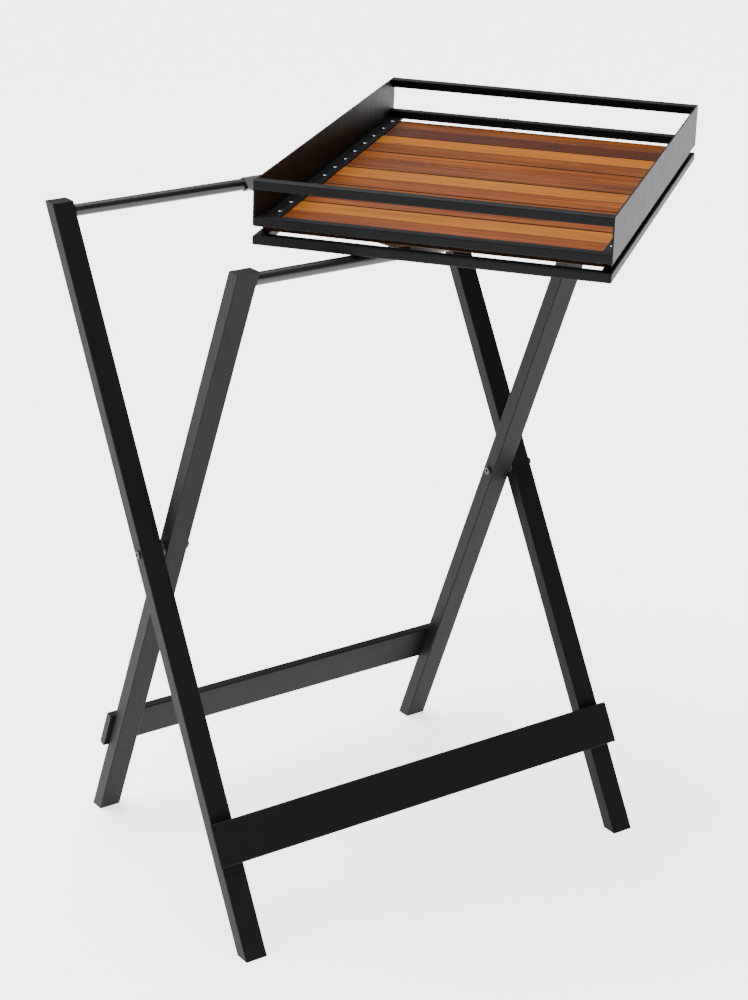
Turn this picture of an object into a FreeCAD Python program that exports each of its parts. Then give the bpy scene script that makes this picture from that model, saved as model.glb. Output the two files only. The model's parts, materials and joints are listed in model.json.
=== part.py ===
import FreeCAD, Part
import itertools
import math
import os

from FreeCAD import Placement, Rotation, Vector

# Folding tray table: two steel leg frames crossed on a pair of pivot bolts, a webbing strap between
# their top rods, and a loose tray with a slatted wooden floor laid across the rods at an angle.
#
# Millimetres and degrees, +Z up, floor at z = 0. X runs along the rods. The stand is worked out with
# the pivot axis over x = y = 0, and everything is moved at the end so that the origin is the middle
# of the whole table's footprint box on the floor.

# Stand, overall
stand_height = 850.0        # floor to the cut tops of the legs
stand_width = 608.0         # over the outer faces of the outer frame's legs
pivot_height = 445.5        # floor to the pivot axis
outer_rod_reach = 214.0     # pivot axis to the outer frame's rod, along Y, with the strap taut
inner_rod_reach = 168.4     # the same for the inner frame
frame_gap = 4.0             # between an outer leg and the inner leg beside it

# Leg tube
leg_width = 30.0            # along X
leg_thickness = 20.0        # across the leg in the plane of the fold
leg_wall = 1.5
leg_edge_radius = 1.5
cap_thickness = 2.0
foot_plug_height = 14.0

# Top rods
rod_radius = 8.0
rod_wall = 1.5
rod_drop = 13.5             # leg top down to the rod's centre
weld_size = 1.8

# Stretcher boards, flat tubes on the outward faces of the legs
near_board_width = 54.0
far_board_width = 56.0
board_thickness = 10.0
board_wall = 1.2
board_edge_radius = 1.5
board_overhang = 6.0        # past the outer face of its own frame's legs
near_board_rise = 117.0     # foot to the lower edge, along the leg's face
far_board_rise = 116.0
board_weld_radius = 2.0
board_weld_count = 3        # at each leg
board_weld_pitch = 16.0

# Pivots
bolt_radius = 3.0
bolt_head_radius = 5.5
bolt_head_height = 2.6
bolt_head_edge = 1.5
bolt_socket_radius = 1.9
bolt_socket_depth = 1.4
bolt_hole_clearance = 0.2
running_clearance = 0.05    # bolt in the sleeve that turns on it
side_clearance = 0.25       # between faces that turn past each other
sleeve_radius = 5.0
spacer_radius = 9.0
nut_flats = 10.0
nut_height = 5.0
nut_dome_height = 3.0
nut_dome_step = 0.6         # dome's foot in from the flats
nut_dome_top_radius = 2.0

# Strap
strap_width = 40.0
strap_thickness = 1.5
strap_sag = 9.0
strap_offset = 0.0          # from the middle of the rods

# Tray, in its own frame: u across (along the slats), v along, h up from the underside
tray_width = 438.0
tray_length = 640.0
base_bar_depth = 15.0
base_bar_height = 12.0
base_bar_wall = 1.2
rail_depth = 15.0
rail_height = 12.0
rail_wall = 1.2
tube_edge_radius = 2.0
panel_height = 57.0
panel_thickness = 2.0
panel_corner_radius = 4.0   # of the wall's lower corners
panel_bend_radius = 2.5     # inside the bend between wall and flange
flange_overhang = 5.0       # past the base bar below it
slat_count = 12
slat_thickness = 11.0
slat_gap = 3.0
slat_setback = 5.0          # slat's end in from the panel's outer face
slat_stagger = 0.8          # every other slat sits this much off an even pitch
slat_edge_gap = 9.0         # between an end bar and the wood next to it
front_strip_width = 18.5    # narrow piece of wood in front of the first slat
slat_edge_radius = 1.2
slat_hole_clearance = 0.1
screw_radius = 1.75
screw_setback = 3.0         # base bar's inner face to the screw's axis
screw_tip_length = 3.0      # below the bar's top wall
screw_head_radius = 4.2
screw_head_height = 2.2
screw_head_edge = 1.2
screw_slot_length = 5.0
screw_slot_width = 1.0
screw_slot_depth = 0.8

# Where the tray lies
tray_turn = -49.9           # of the tray's u axis from X
tray_inset = 102.0          # right outer leg face to the tray's centre
tray_shift = -60.0          # tray's centre from the middle between the rods
rest_gap = 0.3              # between the tray and what it lies on, where they are nearest

# Worked out from the above
half_width = stand_width / 2
leg_half = leg_thickness / 2
above_pivot = stand_height - pivot_height
inner_outer_face = half_width - leg_width - frame_gap
rod_height = stand_height - rod_drop
rod_top = rod_height + rod_radius
slack = 60.0                # over-length of a tube before its ends are cut level
tiny = 1e-6


def box(x0, x1, y0, y1, z0, z1):
    """A box between two corners."""
    return Part.makeBox(x1 - x0, y1 - y0, z1 - z0, Vector(x0, y0, z0))


def edges_along(shape, axis):
    """The straight edges of a shape that run along one axis."""
    found = []
    for edge in shape.Edges:
        ends = edge.Vertexes
        if len(ends) == 2:
            run = ends[1].Point - ends[0].Point
            if run.Length > tiny and abs(abs(run.dot(axis)) - run.Length) < tiny:
                found.append(edge)
    return found


def eased_box(x0, x1, y0, y1, z0, z1, axis, radius):
    """A box whose edges along one axis are rounded."""
    plain = box(x0, x1, y0, y1, z0, z1)
    return plain.makeFillet(radius, edges_along(plain, axis))


def tube(x0, x1, y0, y1, z0, z1, axis, wall, radius):
    """A rectangular tube, open at both ends, and the bar that would fill it."""
    skin = eased_box(x0, x1, y0, y1, z0, z1, axis, radius)
    ax, ay, az = (wall * (1 - abs(c)) for c in axis)
    core = box(x0 + ax, x1 - ax, y0 + ay, y1 - ay, z0 + az, z1 - az)
    return skin.cut(core), core


def disc(radius, length, base, axis):
    """A cylinder."""
    return Part.makeCylinder(radius, length, base, axis)


def ring(outer, inner, length, base, axis):
    """A cylinder with a round hole through it."""
    return disc(outer, length, base, axis).cut(disc(inner, length, base, axis))


def group(solids):
    """Separate solids of one node."""
    return Part.makeCompound([s for part in solids for s in part.Solids])


X = Vector(1, 0, 0)
Y = Vector(0, 1, 0)
Z = Vector(0, 0, 1)


# ---------------------------------------------------------------- stand
class LegFrame:
    """Two legs, their rod and their board, worked out upright about the pivot and then leaned.

    side is +1 for the frame whose top leans to +Y and whose board is on its -Y face, and -1 for the
    other one.
    """

    def __init__(self, side, rod_reach, outer_face, board_width, board_rise):
        self.side = side
        self.lean = math.atan2(rod_reach, above_pivot - rod_drop)
        self.rod_along = math.hypot(rod_reach, above_pivot - rod_drop)
        self.outer_face = outer_face
        self.board_width = board_width
        self.board_rise = board_rise
        self.place = Placement(Vector(0, 0, pivot_height),
                               Rotation(X, -side * math.degrees(self.lean)))
        self.level = box(-half_width - slack, half_width + slack, -stand_height, stand_height,
                         0, stand_height)

    def leg_spans(self):
        """The X ranges of the left and the right leg."""
        return ((-self.outer_face, leg_width - self.outer_face),
                (self.outer_face - leg_width, self.outer_face))

    def leaned(self, shape):
        moved = shape.copy()
        moved.Placement = self.place.multiply(moved.Placement)
        return moved

    def leg(self, span, hole_radius):
        """One leg tube with its pivot hole, cut level at the floor and at the top, and its core."""
        low = -pivot_height / math.cos(self.lean) - slack
        high = above_pivot / math.cos(self.lean) + slack
        walls, core = tube(span[0], span[1], -leg_half, leg_half, low, high, Z, leg_wall,
                           leg_edge_radius)
        walls = walls.cut(disc(hole_radius, leg_width, Vector(span[0], 0, 0), X))
        return self.leaned(walls).common(self.level), self.leaned(core)

    def plugs(self, cores, z0, z1):
        """Plates or plugs that fill the ends of both legs between two heights."""
        slab = box(-half_width, half_width, -stand_height, stand_height, z0, z1)
        return group([core.common(slab) for core in cores])

    def rod(self):
        x0, x1 = leg_width - self.outer_face, self.outer_face - leg_width
        rod = ring(rod_radius, rod_radius - rod_wall, x1 - x0, Vector(x0, 0, self.rod_along), X)
        return self.leaned(rod)

    def rod_welds(self):
        """A fillet of weld round each end of the rod, no wider than the leg's face."""
        face_width = box(-half_width, half_width, -leg_half, leg_half, 0, stand_height)
        beads = []
        for sign in (-1, 1):
            x = sign * (self.outer_face - leg_width)
            z = self.rod_along
            corners = [Vector(x, 0, z + rod_radius),
                       Vector(x, 0, z + rod_radius + weld_size),
                       Vector(x - sign * weld_size, 0, z + rod_radius)]
            face = Part.Face(Part.makePolygon(corners + corners[:1]))
            bead = Part.makeSolid(face.revolve(Vector(0, 0, z), X, 360))
            beads.append(self.leaned(bead.common(face_width)))
        return group(beads)

    def board_box(self):
        """Y and Z ranges of the board in the upright frame."""
        foot = -(pivot_height + leg_half * math.sin(self.lean)) / math.cos(self.lean)
        near, far = leg_half, leg_half + board_thickness
        y0, y1 = (-far, -near) if self.side > 0 else (near, far)
        return y0, y1, foot + self.board_rise, foot + self.board_rise + self.board_width

    def board(self):
        """The board and the two plates that close its ends."""
        y0, y1, z0, z1 = self.board_box()
        reach = self.outer_face + board_overhang
        walls, core = tube(-reach, reach, y0, y1, z0, z1, X, board_wall, board_edge_radius)
        ends = [box(-reach, cap_thickness - reach, y0, y1, z0, z1),
                box(reach - cap_thickness, reach, y0, y1, z0, z1)]
        caps = group([self.leaned(core.common(end)) for end in ends])
        return self.leaned(walls), caps

    def board_welds(self):
        """Round weld spots on the inner side of each leg, in the corner with the board."""
        y0, y1, z0, z1 = self.board_box()
        face = y1 if self.side > 0 else y0
        inward = 1 if self.side > 0 else -1
        middle = (z0 + z1) / 2
        spots = []
        for sign in (-1, 1):
            x = sign * (self.outer_face - leg_width)
            x_range = sorted((x, x - sign * board_weld_radius))
            y_range = sorted((face, face + inward * board_weld_radius))
            corner = box(*x_range, *y_range, z0, z1)
            for index in range(board_weld_count):
                z = middle + (index - (board_weld_count - 1) / 2) * board_weld_pitch
                ball = Part.makeSphere(board_weld_radius, Vector(x, face, z))
                spots.append(self.leaned(ball.common(corner)))
        return group(spots)


outer = LegFrame(1, outer_rod_reach, half_width, near_board_width, near_board_rise)
inner = LegFrame(-1, inner_rod_reach, inner_outer_face, far_board_width, far_board_rise)


def stand_frame(frame, name, board_name, hole_radius):
    """Every piece that is welded into one leg frame."""
    pieces = {}
    cores = []
    for side, span in zip(("left", "right"), frame.leg_spans()):
        pieces[f"{name}_leg_{side}"], core = frame.leg(span, hole_radius)
        cores.append(core)
    pieces[f"{name}_top_caps"] = frame.plugs(cores, stand_height - cap_thickness, stand_height)
    pieces[f"{name}_foot_plugs"] = frame.plugs(cores, 0, foot_plug_height)
    pieces[f"{name}_rod"] = frame.rod()
    pieces[f"{name}_rod_welds"] = frame.rod_welds()
    pieces[board_name], pieces[f"{board_name}_caps"] = frame.board()
    pieces[f"{board_name}_welds"] = frame.board_welds()
    return pieces


# ---------------------------------------------------------------- pivots
def pivots():
    """Two bolts with their nuts and spacers, and the sleeves in the inner legs that turn on them.

    Both bolts point to +X: the left head is on the outer leg, the right head on the inner leg.
    """
    axis_point = Vector(0, 0, pivot_height)
    pack = 2 * leg_width + frame_gap
    starts = (-half_width, half_width - pack)
    bolts, nuts, spacers, sleeves = [], [], [], []
    for index, start in enumerate(starts):
        at = axis_point + X * start
        head_on_inner = index == 1
        seat = at - X * (side_clearance if head_on_inner else 0)
        nut_seat = at + X * (pack + (0 if head_on_inner else side_clearance))

        shank = disc(bolt_radius, (nut_seat - seat).x + nut_height, seat, X)
        head = disc(bolt_head_radius, bolt_head_height, seat - X * bolt_head_height, X)
        rim = [e for e in head.Edges if e.BoundBox.XLength < tiny and e.BoundBox.XMax < seat.x - tiny]
        head = head.makeFillet(bolt_head_edge, rim)
        socket = disc(bolt_socket_radius, bolt_socket_depth, seat - X * bolt_head_height, X)
        bolts.append(shank.fuse(head).cut(socket).removeSplitter())

        nuts.append(dome_nut(nut_seat))

        gap_start = at + X * leg_width
        spacer_start = gap_start + X * (side_clearance if head_on_inner else 0)
        spacers.append(ring(spacer_radius, bolt_radius + bolt_hole_clearance,
                            frame_gap - side_clearance, spacer_start, X))

        sleeve_start = at + X * (0 if head_on_inner else leg_width + frame_gap)
        sleeves.append(ring(sleeve_radius, bolt_radius + running_clearance, leg_width,
                            sleeve_start, X))
    return {"pivot_bolts": group(bolts), "pivot_nuts": group(nuts), "pivot_spacers": group(spacers),
            "pivot_sleeves": group(sleeves)}


def dome_nut(seat):
    """A hexagon nut with a closed dome, screwed on from +X."""
    reach = nut_flats / math.sqrt(3)
    corners = [seat + Vector(0, reach * math.cos(math.radians(60 * k)),
                             reach * math.sin(math.radians(60 * k))) for k in range(7)]
    hexagon = Part.Face(Part.makePolygon(corners)).extrude(X * nut_height)
    top = seat + X * nut_height
    dome = Part.makeCone(nut_flats / 2 - nut_dome_step, nut_dome_top_radius, nut_dome_height, top, X)
    return hexagon.fuse(dome).cut(disc(bolt_radius, nut_height, seat, X)).removeSplitter()


# ---------------------------------------------------------------- strap
def rod_centre(frame):
    """Y and Z of a frame's rod."""
    at = frame.place.multVec(Vector(0, 0, frame.rod_along))
    return at.y, at.z


def strap():
    """A band of webbing: a loop round the middle of each rod, and the web between them."""
    x0 = strap_offset - strap_width / 2
    loops = []
    for frame in (outer, inner):
        y, z = rod_centre(frame)
        loops.append(ring(rod_radius + strap_thickness, rod_radius, strap_width, Vector(x0, y, z), X))

    far_y, far_z = rod_centre(outer)
    near_y, near_z = rod_centre(inner)
    lower = [Vector(x0, far_y, far_z), Vector(x0, (far_y + near_y) / 2, far_z - strap_sag),
             Vector(x0, near_y, near_z)]
    upper = [point + Z * strap_thickness for point in lower]
    outline = [Part.Arc(*lower).toShape(), Part.makeLine(lower[2], upper[2]),
               Part.Arc(*upper[::-1]).toShape(), Part.makeLine(upper[0], lower[0])]
    web = Part.Face(Part.Wire(outline)).extrude(X * strap_width)
    for frame in (outer, inner):
        y, z = rod_centre(frame)
        web = web.cut(disc(rod_radius + strap_thickness, strap_width, Vector(x0, y, z), X))
    return {"strap_loop_far": loops[0], "strap_loop_near": loops[1], "strap_web": web}


# ---------------------------------------------------------------- tray
half_tray = tray_width / 2
half_length = tray_length / 2
slat_bottom = base_bar_height
slat_top = slat_bottom + slat_thickness
panel_top = slat_top + panel_height
flange_width = base_bar_depth + flange_overhang
screw_inset = base_bar_depth - screw_setback
wood_start = base_bar_depth + slat_edge_gap - half_length
slat_pitch = (-2 * wood_start - front_strip_width) / slat_count
slat_width = slat_pitch - slat_gap


def wood_spans():
    """V of the front and back edges of each piece of the floor."""
    spans = {"front_strip": (wood_start, wood_start + front_strip_width)}
    for index in range(slat_count):
        stagger = slat_stagger if index % 2 == 0 else -slat_stagger
        v0 = wood_start + front_strip_width + slat_gap + index * slat_pitch + stagger
        spans[f"slat_{index + 1:02d}"] = (v0, v0 + slat_width)
    return spans


def screw_points(side):
    """Plan positions of one side's screws, one in the middle of each piece of wood."""
    u = side * (half_tray - screw_inset)
    return [(u, (v0 + v1) / 2) for v0, v1 in wood_spans().values()]


def base_bar(length, offset, quarter_turns):
    """A flat tube with mitred ends, whose outer face is offset from the tray's middle.

    As made it is the front bar, and quarter turns make it the right, back or left one.
    """
    half = length / 2
    inner_half = half - base_bar_depth
    inner_offset = offset - base_bar_depth
    walls, _ = tube(-half, half, -offset, -inner_offset, 0, base_bar_height, X, base_bar_wall,
                    tube_edge_radius)
    corners = [Vector(-half, -offset, 0), Vector(half, -offset, 0),
               Vector(inner_half, -inner_offset, 0), Vector(-inner_half, -inner_offset, 0)]
    outline = Part.Face(Part.makePolygon(corners + corners[:1]))
    bar = walls.common(outline.extrude(Z * base_bar_height))
    bar.rotate(Vector(0, 0, 0), Z, 90 * quarter_turns)
    return bar


def base_bars():
    """The rectangle that the slats lie on, with the screws' holes in its sides."""
    bars = {"base_bar_front": base_bar(tray_width, half_length, 0),
            "base_bar_right": base_bar(tray_length, half_tray, 1),
            "base_bar_back": base_bar(tray_width, half_length, 2),
            "base_bar_left": base_bar(tray_length, half_tray, 3)}
    for name, side in (("left", -1), ("right", 1)):
        walls = bars[f"base_bar_{name}"]
        for u, v in screw_points(side):
            walls = walls.cut(disc(screw_radius, base_bar_height / 2,
                                   Vector(u, v, base_bar_height / 2), Z))
        bars[f"base_bar_{name}"] = walls
    return bars


def slats():
    """The wooden floor."""
    pieces = {}
    holes = screw_points(-1) + screw_points(1)
    for name, (v0, v1) in wood_spans().items():
        slat = eased_box(slat_setback - half_tray, half_tray - slat_setback, v0, v1,
                         slat_bottom, slat_top, X, slat_edge_radius)
        for u, v in holes:
            if v0 < v < v1:
                slat = slat.cut(disc(screw_radius + slat_hole_clearance, slat_thickness,
                                     Vector(u, v, slat_bottom), Z))
        pieces[name] = slat
    return pieces


def side_panel(side):
    """A sheet bent to an L: the tray's wall, and a flange that holds the slat ends down."""
    outside = side * half_tray
    wall_u = sorted((outside, outside - side * panel_thickness))
    wall = box(wall_u[0], wall_u[1], -half_length, half_length, slat_top, panel_top)
    corners = [e for e in edges_along(wall, X) if e.BoundBox.ZMax < slat_top + tiny]
    wall = wall.makeFillet(panel_corner_radius, corners)
    flange_u = sorted((outside, outside - side * flange_width))
    flange_end = half_length - rail_depth
    flange = box(flange_u[0], flange_u[1], -flange_end, flange_end, slat_top,
                 slat_top + panel_thickness)
    panel = wall.fuse(flange).removeSplitter()
    bend = [e for e in edges_along(panel, Y)
            if abs(abs(e.Vertexes[0].X) - (half_tray - panel_thickness)) < tiny
            and abs(e.Vertexes[0].Z - (slat_top + panel_thickness)) < tiny]
    panel = panel.makeFillet(panel_bend_radius, bend)
    for u, v in screw_points(side):
        panel = panel.cut(disc(screw_radius + slat_hole_clearance, panel_thickness,
                               Vector(u, v, slat_top), Z))
    return panel


def side_screws(side):
    """Round-headed screws through the flange and the slats into the base bar."""
    seat = slat_top + panel_thickness
    tip = base_bar_height - base_bar_wall - screw_tip_length
    screws = []
    for u, v in screw_points(side):
        shank = disc(screw_radius, seat - tip, Vector(u, v, tip), Z)
        head = disc(screw_head_radius, screw_head_height, Vector(u, v, seat), Z)
        rim = [e for e in head.Edges if e.BoundBox.ZLength < tiny and e.BoundBox.ZMin > seat + tiny]
        head = head.makeFillet(screw_head_edge, rim)
        top = seat + screw_head_height
        for slot_u, slot_v in ((screw_slot_length / 2, screw_slot_width / 2),
                               (screw_slot_width / 2, screw_slot_length / 2)):
            head = head.cut(box(u - slot_u, u + slot_u, v - slot_v, v + slot_v,
                                top - screw_slot_depth, top))
        screws.append(shank.fuse(head).removeSplitter())
    return group(screws)


def rails():
    """Front and back rails, an upper and a lower one each, between the side panels."""
    pieces = {}
    reach = half_tray - panel_thickness
    for end, sign in (("front", -1), ("back", 1)):
        v0, v1 = sorted((sign * half_length, sign * (half_length - rail_depth)))
        for level, h0 in (("lower", slat_top), ("upper", panel_top - rail_height)):
            walls, _ = tube(-reach, reach, v0, v1, h0, h0 + rail_height, X, rail_wall,
                            tube_edge_radius)
            pieces[f"{end}_{level}_rail"] = walls
    return pieces


def tray():
    """Every piece of the tray, in the tray's own frame."""
    pieces = base_bars()
    pieces.update(slats())
    pieces.update(rails())
    for name, side in (("left", -1), ("right", 1)):
        pieces[f"{name}_panel"] = side_panel(side)
        pieces[f"{name}_screws"] = side_screws(side)
    return pieces


def leg_top(frame, span):
    """The plan of a leg's cut top."""
    middle = frame.side * above_pivot * math.tan(frame.lean)
    half = leg_half / math.cos(frame.lean)
    return Part.makePlane(leg_width, 2 * half, Vector(span[0], middle - half, 0))


def rest_points(flat):
    """Points that the tray's underside has to clear when it lies in a given place.

    Its base bars can meet the rods, the strap's loops and the legs' tops, and its slats, one bar's
    height further up, can meet the legs' tops.
    """
    plan = Part.makePlane(tray_width, tray_length, Vector(-half_tray, -half_length, 0))
    slat_area = Part.makePlane(tray_width - 2 * base_bar_depth, tray_length - 2 * base_bar_depth,
                               Vector(base_bar_depth - half_tray, base_bar_depth - half_length, 0))
    bar_area = plan.cut(slat_area)
    for area in (bar_area, slat_area):
        area.Placement = flat

    meetings = []
    for frame in (outer, inner):
        y = rod_centre(frame)[0]
        rod_half = frame.outer_face - leg_width
        stops = (-rod_half, strap_offset - strap_width / 2, strap_offset + strap_width / 2, rod_half)
        for x0, x1, cover in zip(stops, stops[1:], (0, strap_thickness, 0)):
            line = Part.makeLine(Vector(x0, y, 0), Vector(x1, y, 0))
            meetings.append((bar_area, line, rod_top + cover))
        for span in frame.leg_spans():
            top = leg_top(frame, span)
            meetings.append((bar_area, top, stand_height))
            meetings.append((slat_area, top, stand_height - slat_bottom))
    return [Vector(corner.X, corner.Y, level + rest_gap)
            for area, shape, level in meetings for corner in area.common(shape).Vertexes]


def rest_plane(points, centre):
    """The plane that lies lowest at the centre and has no point above it: its upward normal and
    its height at the centre."""
    lowest = None
    for a, b, c in itertools.combinations(points, 3):
        up = (b - a).cross(c - a)
        if abs(up.z) < tiny:
            continue
        up = up * (1 / up.z)
        level = a.dot(up)
        if all(point.dot(up) < level + tiny for point in points):
            height = level - up.x * centre.x - up.y * centre.y
            if lowest is None or height < lowest[1]:
                lowest = (up, height)
    return lowest


def tray_place():
    """Where the tray lies: turned across the stand, and down on what it meets first.

    Its front bar crosses the near rod and its left bar crosses the far rod. Its middle is to the
    right of the line between those two places, so it tips until the slats meet a leg's top.
    """
    middle = (rod_centre(outer)[0] + rod_centre(inner)[0]) / 2
    centre = Vector(half_width - tray_inset, middle + tray_shift, 0)
    turn = Rotation(Z, tray_turn)
    up, height = rest_plane(rest_points(Placement(centre, turn)), centre)
    centre.z = height
    return Placement(centre, Rotation(Z, up).multiply(turn))


# ---------------------------------------------------------------- the whole table
def table():
    """Every node's shape, with the origin in the middle of the footprint box."""
    pieces = {}
    pieces.update(stand_frame(outer, "outer", "near_board", bolt_radius + bolt_hole_clearance))
    pieces.update(stand_frame(inner, "inner", "far_board", sleeve_radius))
    pieces.update(pivots())
    pieces.update(strap())
    laid = tray_place()
    for name, shape in tray().items():
        moved = shape.copy()
        moved.Placement = laid.multiply(moved.Placement)
        pieces[name] = moved

    whole = Part.makeCompound(list(pieces.values())).BoundBox
    to_origin = Vector(-(whole.XMin + whole.XMax) / 2, -(whole.YMin + whole.YMax) / 2, 0)
    for shape in pieces.values():
        shape.translate(to_origin)
    return pieces, to_origin, laid


if __name__ == "__main__":
    os.makedirs("parts", exist_ok=True)
    nodes, to_origin, laid = table()
    for name, shape in nodes.items():
        shape.exportStep(f"parts/{name}.step")
    print("nodes", len(nodes))
    print("pivot axis", to_origin.x, to_origin.y, pivot_height)
    print("tray centre", laid.Base + to_origin, "tilt", math.degrees(laid.Rotation.multVec(Z).getAngle(Z)))
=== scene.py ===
import json
import math

import bpy
import numpy as np
from mathutils import Matrix, Vector


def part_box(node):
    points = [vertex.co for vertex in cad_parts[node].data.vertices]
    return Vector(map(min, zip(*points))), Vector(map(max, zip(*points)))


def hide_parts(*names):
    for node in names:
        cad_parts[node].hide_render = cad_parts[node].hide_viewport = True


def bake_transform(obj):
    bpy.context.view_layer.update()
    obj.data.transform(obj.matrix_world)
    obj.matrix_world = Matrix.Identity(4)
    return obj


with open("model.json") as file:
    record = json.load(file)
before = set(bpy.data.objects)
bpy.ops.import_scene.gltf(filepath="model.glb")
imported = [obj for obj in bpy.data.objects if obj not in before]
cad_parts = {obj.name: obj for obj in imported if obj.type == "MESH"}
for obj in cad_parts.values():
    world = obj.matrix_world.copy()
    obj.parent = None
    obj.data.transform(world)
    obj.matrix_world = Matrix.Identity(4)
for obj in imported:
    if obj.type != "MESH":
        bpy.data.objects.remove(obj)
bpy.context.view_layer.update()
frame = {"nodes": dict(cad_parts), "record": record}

MM = 0.001

# ------------------------------------------------------------------ the frame's own facts
record = frame["record"]
joints = {joint["name"]: joint for joint in record["behaviour"]["joints"]}
slot_of = {part["node"]: part["material_slot"] for part in record["subparts"]}
PIVOT = Vector(joints["fold"]["pos_m"])
SLATS = sorted(name for name in frame["nodes"] if name.startswith("slat_"))


def node_points(node):
    """A CAD node's vertices as an array, in the row frame."""
    return np.array([v.co for v in frame["nodes"][node].data.vertices], float)


def tray_axes():
    """The tray's own directions, from the slats: across (along the grain), along, and up."""
    points = node_points(SLATS[0])
    _, _, directions = np.linalg.svd(points - points.mean(0), full_matrices=False)
    across = Vector(directions[0])
    if across.x < 0:
        across.negate()
    first = Vector(node_points(SLATS[0]).mean(0))
    last = Vector(node_points(SLATS[-1]).mean(0))
    along = (last - first).normalized()
    up = across.cross(along).normalized()
    return across, up.cross(across).normalized(), up


ACROSS, ALONG, UP = tray_axes()
TRAY_TURN = Matrix((ACROSS, ALONG, UP)).to_4x4()
TRAY_EULER = TRAY_TURN.to_euler()


# ------------------------------------------------------------------ shader helpers
class Shader:
    """A material's node tree, built with short calls."""

    def __init__(self, name):
        self.material = bpy.data.materials.new(name)
        self.material.use_nodes = True
        self.tree = self.material.node_tree
        self.bsdf = self.tree.nodes["Principled BSDF"]
        self.object_space = self.tree.nodes.new("ShaderNodeTexCoord").outputs["Object"]

    def node(self, kind, inputs=(), **settings):
        made = self.tree.nodes.new(kind)
        for key, value in settings.items():
            setattr(made, key, value)
        for key, value in dict(inputs).items():
            self.put(value, made.inputs[key])
        return made

    def put(self, value, socket):
        """Links an output to a socket, or sets the socket's own value."""
        if isinstance(value, bpy.types.NodeSocket):
            self.tree.links.new(value, socket)
        else:
            socket.default_value = value

    def math(self, operation, *values, clamp=False):
        made = self.node("ShaderNodeMath", operation=operation, use_clamp=clamp)
        for index, value in enumerate(values):
            self.put(value, made.inputs[index])
        return made.outputs[0]

    def mapped(self, location=(0, 0, 0), turn=(0, 0, 0), scale=(1, 1, 1), vector=None):
        made = self.node("ShaderNodeMapping")
        self.put(vector or self.object_space, made.inputs["Vector"])
        made.inputs["Location"].default_value = location
        made.inputs["Rotation"].default_value = turn
        made.inputs["Scale"].default_value = scale
        return made.outputs[0]

    def noise(self, vector, scale, detail=2.0, roughness=0.5, distortion=0.0):
        made = self.node("ShaderNodeTexNoise", {"Vector": vector, "Scale": scale, "Detail": detail,
                                                "Roughness": roughness, "Distortion": distortion})
        return made.outputs["Fac"]

    def ramp(self, value, *stops):
        """A ramp from (place, grey or colour) stops."""
        made = self.node("ShaderNodeValToRGB", {"Fac": value})
        elements = made.color_ramp.elements
        while len(elements) < len(stops):
            elements.new(0.5)
        for element, (place, colour) in zip(elements, stops):
            element.position = place
            grey = isinstance(colour, (int, float))
            element.color = (colour, colour, colour, 1) if grey else (*colour, 1)
        return made.outputs["Color"]

    def mix(self, share, a, b):
        made = self.node("ShaderNodeMix", data_type="RGBA")
        self.put(share, made.inputs["Factor"])
        for value, socket in ((a, made.inputs[6]), (b, made.inputs[7])):
            self.put((*value, 1) if isinstance(value, tuple) else value, socket)
        return made.outputs[2]

    def spread(self, value, low, high, start=0.0, stop=1.0):
        """A value from start to stop taken to the range from low to high, and clamped to it."""
        made = self.node("ShaderNodeMapRange", {"Value": value, "From Min": start, "From Max": stop,
                                                "To Min": low, "To Max": high})
        return made.outputs["Result"]

    def bump(self, height, strength, distance):
        made = self.node("ShaderNodeBump", {"Height": height, "Strength": strength,
                                            "Distance": distance})
        self.put(made.outputs["Normal"], self.bsdf.inputs["Normal"])

    def set(self, **values):
        for key, value in values.items():
            socket = self.bsdf.inputs[key.replace("_", " ")]
            if isinstance(value, tuple):
                value = (*value, 1)
            self.put(value, socket)


# ------------------------------------------------------------------ materials
def powder_coat(name, base, roughness, gloss=0.09, dust_and_sheen=0.25):
    """Satin black powder coat: fine orange peel, slight mottling, dust and a painted bluish sky sheen on
    what faces up.
    """
    shader = Shader(name)
    peel = shader.noise(shader.object_space, 1400, 2, 0.55)
    mottle = shader.noise(shader.object_space, 22, 4, 0.6)
    scuffs = shader.noise(shader.mapped(scale=(30, 30, 8)), 3, 6, 0.72, 0.6)
    geometry = shader.node("ShaderNodeNewGeometry")
    parts = shader.node("ShaderNodeSeparateXYZ", {"Vector": geometry.outputs["Normal"]})
    # Up-facing faces are mixed toward a lighter bluish grey: partly dust, partly a painted sheen of the
    # light from above.
    upward_dust_and_sheen = shader.math("MULTIPLY", shader.math("MAXIMUM", parts.outputs["Z"], 0.0), dust_and_sheen)
    light = tuple(channel * 2.2 for channel in base)
    tone = shader.mix(shader.spread(mottle, 0.0, 0.55), base, light)
    dust_and_sheen_tone = shader.mix(shader.math("MULTIPLY", upward_dust_and_sheen, shader.spread(scuffs, 0.0, 0.35)), tone,
                       (0.040, 0.043, 0.050))
    shader.set(Base_Color=dust_and_sheen_tone,
               Roughness=shader.spread(scuffs, roughness - 0.07, roughness + 0.10))
    shader.bsdf.inputs["Specular IOR Level"].default_value = gloss
    shader.bump(peel, 0.16, 0.00012)
    return shader.material


def metal(name, colour, roughness, grain=(1, 1, 1)):
    """Bare or plated metal with fine turning marks and a slight tarnish."""
    shader = Shader(name)
    lines = shader.noise(shader.mapped(scale=grain), 900, 3, 0.6)
    tarnish = shader.noise(shader.object_space, 160, 3, 0.6)
    dull = tuple(channel * 0.55 for channel in colour)
    shader.set(Base_Color=shader.mix(shader.spread(tarnish, 0.0, 0.6), colour, dull),
               Roughness=shader.spread(lines, roughness - 0.06, roughness + 0.12))
    shader.bsdf.inputs["Metallic"].default_value = 1.0
    shader.bump(lines, 0.12, 0.00006)
    return shader.material


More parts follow.
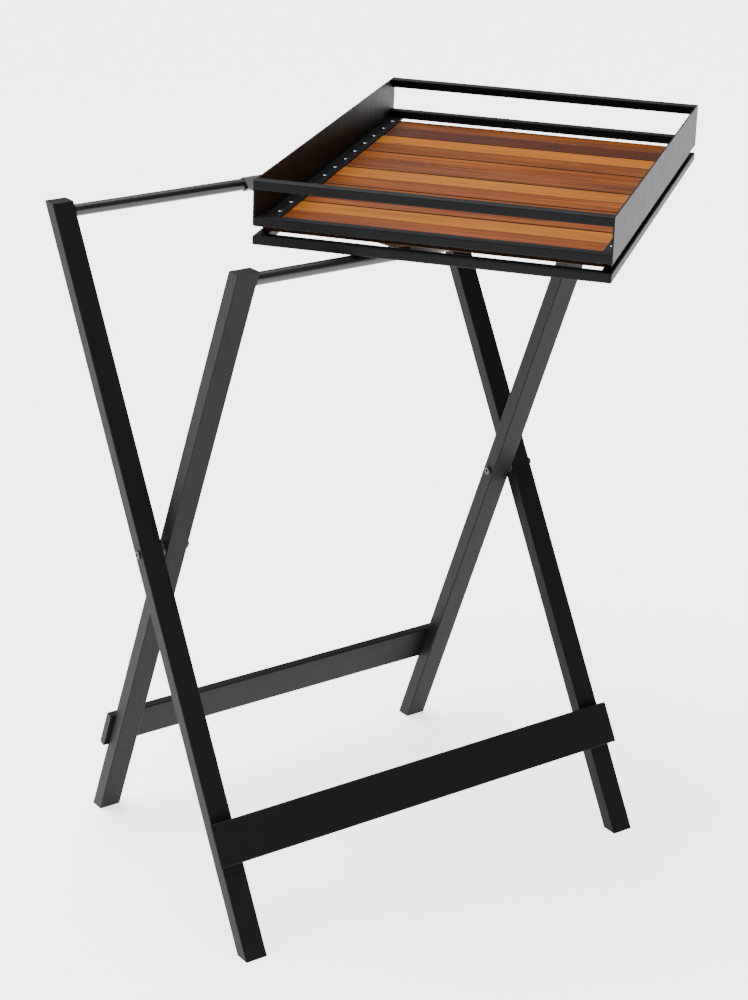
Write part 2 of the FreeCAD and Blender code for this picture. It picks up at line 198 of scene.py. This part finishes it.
def plastic(name, colour, roughness):
    """Moulded black plastic with a fine spark-eroded texture."""
    shader = Shader(name)
    grain = shader.noise(shader.object_space, 2600, 2, 0.5)
    clouds = shader.noise(shader.object_space, 60, 3, 0.6)
    pale = tuple(channel * 2.5 for channel in colour)
    shader.set(Base_Color=shader.mix(shader.spread(clouds, 0.0, 0.5), colour, pale),
               Roughness=shader.spread(grain, roughness - 0.05, roughness + 0.1))
    shader.bump(grain, 0.2, 0.0001)
    return shader.material


def webbing(name, colour, thread):
    """Woven strap: ribs across the band and fine yarns along it."""
    shader = Shader(name)
    parts = shader.node("ShaderNodeSeparateXYZ", {"Vector": shader.object_space})
    warp = shader.math("SINE", shader.math("MULTIPLY", parts.outputs["X"], 2 * math.pi / thread))
    sloped = shader.math("MULTIPLY", parts.outputs["Z"], 0.7)
    around = shader.math("ADD", parts.outputs["Y"], sloped)
    weft = shader.math("SINE", shader.math("MULTIPLY", around, 2 * math.pi / (thread * 0.8)))
    weave = shader.math("MULTIPLY", warp, weft)
    height = shader.spread(weave, 0.3, 0.7)
    fuzz = shader.noise(shader.object_space, 1800, 3, 0.7)
    dark = tuple(channel * 0.45 for channel in colour)
    shader.set(Base_Color=shader.mix(height, dark, shader.mix(fuzz, colour, dark)),
               Roughness=shader.spread(fuzz, 0.7, 0.95))
    shader.bsdf.inputs["Sheen Weight"].default_value = 0.3
    shader.bsdf.inputs["Sheen Roughness"].default_value = 0.5
    shader.bump(shader.math("ADD", height, shader.math("MULTIPLY", fuzz, 0.3)), 0.5, 0.0003)
    return shader.material


KNOT_STRETCH = 3.2          # a knot's length along the grain to its width
KNOT_SWELL = 0.010          # how far a knot pushes the rings out, in metres
KNOT_SHARE = 0.10           # a knot's colour, as a share of the dark wood's
DEEP_SHARE = 0.32           # the same for pores and veins
RING_SPACING = 0.0048       # metres


def wood(name, node, light, dark, seed, lean=0.0, ring=0.0, knots=()):
    """Oiled acacia in one slat's own directions: x along the grain, y across it, z up.

    light and dark are the colours of early and late wood, lean tips the tree's heart out of the
    slat's line so that the rings open into arches, and knots are (along, across, radius) in metres
    from the slat's middle.
    """
    shader = Shader(name)
    low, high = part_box(node)
    middle = (low + high) / 2
    moved = shader.mapped(location=tuple(-middle))
    own = shader.mapped(vector=moved, turn=tuple(TRAY_EULER))
    wandering = shader.mapped(vector=own, location=(seed, seed * 0.37, 0), scale=(3, 14, 14))
    drift = shader.noise(wandering, 1, 3, 0.55)
    parts = shader.node("ShaderNodeSeparateXYZ", {"Vector": own})
    x, y, z = (parts.outputs[axis] for axis in "XYZ")

    swell, shade = 0.0, 0.0
    for along, across, radius in knots:
        dx = shader.math("DIVIDE", shader.math("SUBTRACT", x, along), radius * KNOT_STRETCH)
        dy = shader.math("DIVIDE", shader.math("SUBTRACT", y, across), radius)
        far = shader.math("SQRT", shader.math("ADD", shader.math("MULTIPLY", dx, dx),
                                              shader.math("MULTIPLY", dy, dy)))
        square = shader.math("MULTIPLY", far, far)
        near = shader.math("EXPONENT", shader.math("MULTIPLY", square, -0.55))
        swell = shader.math("ADD", shader.math("MULTIPLY", near, KNOT_SWELL), swell)
        core = shader.math("EXPONENT", shader.math("MULTIPLY", square, -3.0))
        shade = shader.math("ADD", core, shade)

    heart_y = shader.math("ADD", shader.math("MULTIPLY", x, lean), 0.035 + 0.03 * math.sin(seed * 2.3))
    off_y = shader.math("SUBTRACT", y, heart_y)
    off_z = shader.math("ADD", z, 0.03 + 0.012 * math.cos(seed))
    reach = shader.math("SQRT", shader.math("ADD", shader.math("MULTIPLY", off_y, off_y),
                                            shader.math("MULTIPLY", off_z, off_z)))
    reach = shader.math("ADD", reach, shader.math("MULTIPLY", drift, 0.022))
    reach = shader.math("ADD", reach, swell)
    phase = shader.math("FRACT", shader.math("DIVIDE", reach, RING_SPACING + ring))
    rings = shader.ramp(phase, (0.0, 0.12), (0.35, 0.25), (0.78, 0.75), (0.93, 1.0), (1.0, 0.12))

    def along_grain(shift, scale, detail, roughness):
        """Noise drawn out along the grain, at (along, across) scales."""
        placed = shader.mapped(vector=own, location=(seed * shift, shift, 1),
                               scale=(scale[0], scale[1], scale[1]))
        return shader.noise(placed, 1, detail, roughness)

    fibre = shader.spread(along_grain(1.0, (9, 420), 3, 0.65), 0, 1, 0.3, 0.7)
    streak = shader.spread(along_grain(1.7, (2.4, 95), 4, 0.6), 0, 1, 0.33, 0.67)
    vein = shader.spread(along_grain(2.9, (3.5, 230), 3, 0.6), 0, 1, 0.54, 0.72)
    patch = shader.spread(along_grain(4.1, (5, 22), 2, 0.5), 0, 1, 0.3, 0.7)
    pores = shader.spread(along_grain(5.3, (60, 1400), 1, 0.5), 0, 1, 0.60, 0.70)

    share = shader.math("ADD", shader.math("MULTIPLY", rings, 0.35),
                        shader.math("MULTIPLY", streak, 0.50))
    share = shader.math("ADD", share, shader.math("MULTIPLY", patch, 0.45))
    share = shader.math("SUBTRACT", share, 0.16, clamp=True)
    tone = shader.mix(share, light, dark)
    deep = tuple(channel * DEEP_SHARE for channel in dark)
    tone = shader.mix(shader.math("MULTIPLY", fibre, 0.45), tone, deep)
    tone = shader.mix(shader.math("MULTIPLY", vein, 0.90), tone, deep)
    tone = shader.mix(shader.math("MULTIPLY", pores, 0.45), tone, deep)
    if knots:
        tone = shader.mix(shader.math("MULTIPLY", shade, 0.85, clamp=True), tone,
                          tuple(channel * KNOT_SHARE for channel in dark))
    # Faces that don't face up or down, the slat ends and long sides, are mixed toward very dark brown: the
    # end grain's own colour plus painted shade in the gaps and the set-back ends.
    normal = shader.node("ShaderNodeNewGeometry").outputs["True Normal"]
    facing = shader.mapped(vector=normal, turn=tuple(TRAY_EULER))
    sides = shader.node("ShaderNodeSeparateXYZ", {"Vector": facing})
    level = shader.math("ABSOLUTE", sides.outputs["Z"])
    tone = shader.mix(shader.spread(level, 0.96, 0.0, 0.0, 0.97), tone, END_GRAIN_AND_SHADE)
    shader.set(Base_Color=tone, Roughness=shader.spread(streak, 0.40, 0.55))
    shader.bsdf.inputs["Specular IOR Level"].default_value = 0.08
    grain = shader.math("SUBTRACT", shader.math("MULTIPLY", fibre, 0.6),
                        shader.math("MULTIPLY", pores, 0.8))
    shader.bump(grain, 0.35, 0.00018)
    return shader.material


# Very dark brown for slat ends and sides: end grain with painted shade in it.
END_GRAIN_AND_SHADE = (0.014, 0.006, 0.003)
BLACK = (0.0028, 0.0028, 0.0031)
finishes = {
    "black_steel": powder_coat("powder_coat", BLACK, 0.50),
    "black_bolt": powder_coat("black_zinc", (0.008, 0.008, 0.0085), 0.36, gloss=0.35, dust_and_sheen=0.1),
    "sleeve_steel": metal("sleeve_steel", (0.55, 0.55, 0.56), 0.34, (0.05, 1, 1)),
    "screw_steel": metal("screw_steel", (0.42, 0.45, 0.52), 0.20),
    "webbing": webbing("webbing", (0.010, 0.010, 0.011), 1.6 * MM),
    "plug_plastic": plastic("plug_plastic", (0.005, 0.005, 0.0055), 0.55),
}

GOLD = (0.33, 0.112, 0.007)
ORANGE = (0.25, 0.066, 0.004)
TAN = (0.22, 0.068, 0.008)
PINK = (0.24, 0.062, 0.008)
RED = (0.072, 0.013, 0.0015)
BROWN = (0.036, 0.008, 0.0015)
UMBER = (0.018, 0.004, 0.001)

# light wood, dark wood, seed, lean of the heart, wider rings, knots; from the front strip to the back
wood_looks = (
    (TAN, BROWN, 6.1, 0.02, 0.0, ()),
    (PINK, RED, 1.3, 0.02, 0.0, ()),
    (GOLD, TAN, 4.1, -0.03, 0.001, ()),
    (PINK, RED, 7.7, 0.01, 0.0, ()),
    (ORANGE, RED, 2.9, 0.05, 0.001, ()),
    (ORANGE, RED, 5.6, -0.02, 0.0, ((0.155, -0.01, 0.003),)),
    (GOLD, TAN, 9.2, 0.03, 0.0, ((-0.033, -0.004, 0.003),)),
    (PINK, BROWN, 3.4, -0.05, 0.002, ()),
    (ORANGE, RED, 6.8, 0.02, 0.0, ()),
    (TAN, RED, 8.5, -0.01, 0.001, ((0.095, 0.01, 0.002),)),
    (GOLD, ORANGE, 0.7, 0.06, 0.002, ((-0.167, -0.017, 0.004),)),
    (RED, BROWN, 10.4, 0.02, 0.0, ((0.038, 0.0, 0.006),)),
    (ORANGE, UMBER, 11.9, -0.03, 0.0, ()),
)
for node, look in zip(["front_strip", *SLATS], wood_looks):
    finishes[node] = wood(f"acacia_{node}", node, *look)

for node in ("outer_rod", "inner_rod"):
    finishes[node] = powder_coat(f"{node}_paint", BLACK, 0.30, gloss=0.45, dust_and_sheen=0.0)

for node, part in frame["nodes"].items():
    finish = finishes.get(node) or finishes[slot_of[node]]
    part.data.materials.clear()
    part.data.materials.append(finish)


# ------------------------------------------------------------------ strap
def mesh_object(name, vertices, faces):
    mesh = bpy.data.meshes.new(name)
    mesh.from_pydata(vertices, [], faces)
    mesh.update()
    made = bpy.data.objects.new(name, mesh)
    bpy.context.scene.collection.objects.link(made)
    return made


def rod_middle(node):
    """A rod's centre line at the middle of its length, and its radius."""
    low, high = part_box(node)
    return (low + high) / 2, (high.z - low.z) / 2


far_rod, rod_radius = rod_middle("outer_rod")
near_rod, _ = rod_middle("inner_rod")
strap_low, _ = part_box("strap_web")
loop_low, loop_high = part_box("strap_loop_far")
STRAP_WIDTH = loop_high.x - loop_low.x
BAND = (loop_high.z - loop_low.z) / 2 - rod_radius
web_sag = far_rod.z - strap_low.z - BAND / 2
LAP = 34 * MM               # the sewn tail under the web
ROD_CLEAR = 0.05 * MM       # between the band and a rod
LEAVE_CLEAR = 5 * MM        # from a rod's loop to where the web starts
TAIL_DROP = 1.08            # the tail's middle under the web's, in band thicknesses
BAND_SHARE = 0.92           # of the CAD band's thickness
WRAP_TURN = 118             # degrees from the web's line to where the band leaves a rod
ROD_STEPS = 30
WEB_STEPS = 60
TAIL_STEPS = 8


def web_curve(share):
    """The web's middle at a share of the way from the far rod to the near rod."""
    y = far_rod.y + (near_rod.y - far_rod.y) * share
    z = far_rod.z + (near_rod.z - far_rod.z) * share - web_sag * 4 * share * (1 - share)
    return Vector((0, y, z + BAND / 2))


def strap_path():
    """Points along the band's middle: a sewn tail under the web, round the far rod, across to the
    near rod and round that, and the other sewn tail."""
    span = abs(far_rod.y - near_rod.y)
    around = rod_radius + BAND / 2 + ROD_CLEAR
    points = []

    def wrap(centre, start, stop, steps):
        for step in range(steps + 1):
            angle = math.radians(start + (stop - start) * step / steps)
            points.append(Vector((0, centre.y + around * math.cos(angle),
                                  centre.z + around * math.sin(angle))))

    leave = (around + LEAVE_CLEAR) / span
    tail = (around + LAP) / span
    under = Vector((0, 0, -BAND * TAIL_DROP))
    for step in range(TAIL_STEPS + 1):
        points.append(web_curve(tail + (leave - tail) * step / TAIL_STEPS) + under)
    wrap(far_rod, -WRAP_TURN, WRAP_TURN, ROD_STEPS)
    for step in range(WEB_STEPS + 1):
        points.append(web_curve(leave + (1 - 2 * leave) * step / WEB_STEPS))
    wrap(near_rod, 180 - WRAP_TURN, 180 + WRAP_TURN, ROD_STEPS)
    for step in range(TAIL_STEPS + 1):
        points.append(web_curve(1 - leave - (tail - leave) * step / TAIL_STEPS) + under)
    return points


def ribbon(name, points, width, thickness, middle_x):
    """A flat band along points in the Y-Z plane, with rounded selvedges."""
    section = []
    rim = 6
    half, thick = width / 2, thickness / 2
    for side in (1, -1):
        for step in range(rim + 1):
            angle = math.radians(90 - 180 * step / rim)
            section.append((side * (half - thick + thick * math.cos(angle)), side * thick * math.sin(angle)))
    vertices, faces = [], []
    count = len(section)
    for index, point in enumerate(points):
        before = points[max(0, index - 1)]
        after = points[min(len(points) - 1, index + 1)]
        along = (after - before).normalized()
        normal = Vector((1, 0, 0)).cross(along).normalized()
        for across, out in section:
            vertices.append(Vector((middle_x + across, 0, 0)) + Vector((0, point.y, point.z)) + normal * out)
    for ring in range(len(points) - 1):
        for index in range(count):
            a = ring * count + index
            b = ring * count + (index + 1) % count
            faces.append((a, b, b + count, a + count))
    faces.append(tuple(range(count))[::-1])
    faces.append(tuple(range((len(points) - 1) * count, len(points) * count)))
    made = mesh_object(name, vertices, faces)
    for polygon in made.data.polygons:
        polygon.use_smooth = True
    return made


middle_x = (loop_low.x + loop_high.x) / 2
strap = ribbon("strap", strap_path(), STRAP_WIDTH, BAND * BAND_SHARE, middle_x)
strap.data.materials.append(finishes["webbing"])

# ------------------------------------------------------------------ stage
FLOOR_HALF = 14.0           # metres
FLOOR_GLOW = 2.0
SKY_STRENGTH = 0.30


def floor():
    """A wide, pale floor that glows a little, as a lit studio sweep does."""
    made = mesh_object("floor", [(-FLOOR_HALF, -FLOOR_HALF, 0), (FLOOR_HALF, -FLOOR_HALF, 0),
                                 (FLOOR_HALF, FLOOR_HALF, 0), (-FLOOR_HALF, FLOOR_HALF, 0)],
                       [(0, 1, 2, 3)])
    shader = Shader("floor_paint")
    speck = shader.noise(shader.object_space, 3, 3, 0.5)
    shader.set(Base_Color=shader.mix(shader.spread(speck, 0, 0.2), (0.90, 0.90, 0.90), (0.86, 0.86, 0.86)))
    shader.bsdf.inputs["Roughness"].default_value = 0.85
    shader.bsdf.inputs["Emission Color"].default_value = (1, 1, 1, 1)
    shader.bsdf.inputs["Emission Strength"].default_value = FLOOR_GLOW
    made.data.materials.append(shader.material)


floor()


def area_light(name, place, aim, size, power, colour):
    data = bpy.data.lights.new(name, "AREA")
    data.shape = "RECTANGLE"
    data.size, data.size_y = size
    data.energy = power
    data.color = colour
    lamp = bpy.data.objects.new(name, data)
    lamp.location = place
    lamp.rotation_mode = "QUATERNION"
    lamp.rotation_quaternion = (Vector(aim) - Vector(place)).to_track_quat("-Z", "Y")
    bpy.context.scene.collection.objects.link(lamp)


HEAD = (0, 0, 0.6)
area_light("key_left", (-3.0, 1.2, 1.6), HEAD, (1.8, 1.6), 40, (0.96, 0.98, 1.0))
area_light("behind", (1.2, 3.6, 2.4), HEAD, (3.2, 1.4), 12, (0.93, 0.96, 1.0))


def sun(power, angle, tilt, turn):
    """A broad, soft sun that lights the floor evenly however far it runs."""
    data = bpy.data.lights.new("sun", "SUN")
    data.energy = power
    data.angle = math.radians(angle)
    lamp = bpy.data.objects.new("sun", data)
    lamp.rotation_euler = (math.radians(tilt), 0, math.radians(turn))
    bpy.context.scene.collection.objects.link(lamp)


sun(power=8.0, angle=60, tilt=12, turn=200)

world = bpy.data.worlds.new("studio")
world.use_nodes = True
sky = world.node_tree.nodes["Background"]
sky.inputs["Color"].default_value = (1, 1, 1, 1)
sky.inputs["Strength"].default_value = SKY_STRENGTH
bpy.context.scene.world = world

# ------------------------------------------------------------------ camera
CAMERA_LENS = 90.0            # mm, on a 36 mm long side
CAMERA_AZIMUTH = 34.49        # degrees to the left of straight on
CAMERA_ELEVATION = 16.61
CAMERA_ROLL = 0.714
CAMERA_DISTANCE = 3.2195
CAMERA_SHIFT = -0.2231
AIM = Vector((0.0468, 0, 0.7516))    # from the floor under the pivots


def camera():
    data = bpy.data.cameras.new("camera")
    data.sensor_width = 36.0
    data.lens = CAMERA_LENS
    data.shift_y = CAMERA_SHIFT
    made = bpy.data.objects.new("camera", data)
    azimuth, elevation = math.radians(CAMERA_AZIMUTH), math.radians(CAMERA_ELEVATION)
    forward = Vector((math.sin(azimuth) * math.cos(elevation), math.cos(azimuth) * math.cos(elevation),
                      -math.sin(elevation)))
    aim = Vector((PIVOT.x, PIVOT.y, 0)) + AIM
    made.location = aim - forward * CAMERA_DISTANCE
    look = forward.to_track_quat("-Z", "Y").to_matrix()
    made.matrix_world = (Matrix.Translation(made.location)
                         @ (look @ Matrix.Rotation(math.radians(CAMERA_ROLL), 3, "Z")).to_4x4())
    bpy.context.scene.collection.objects.link(made)
    bpy.context.scene.camera = made


camera()

band_length = sum((b - a).length for a, b in zip(strap_path(), strap_path()[1:]))
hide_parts("strap_loop_far", "strap_loop_near", "strap_web")
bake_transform(strap)
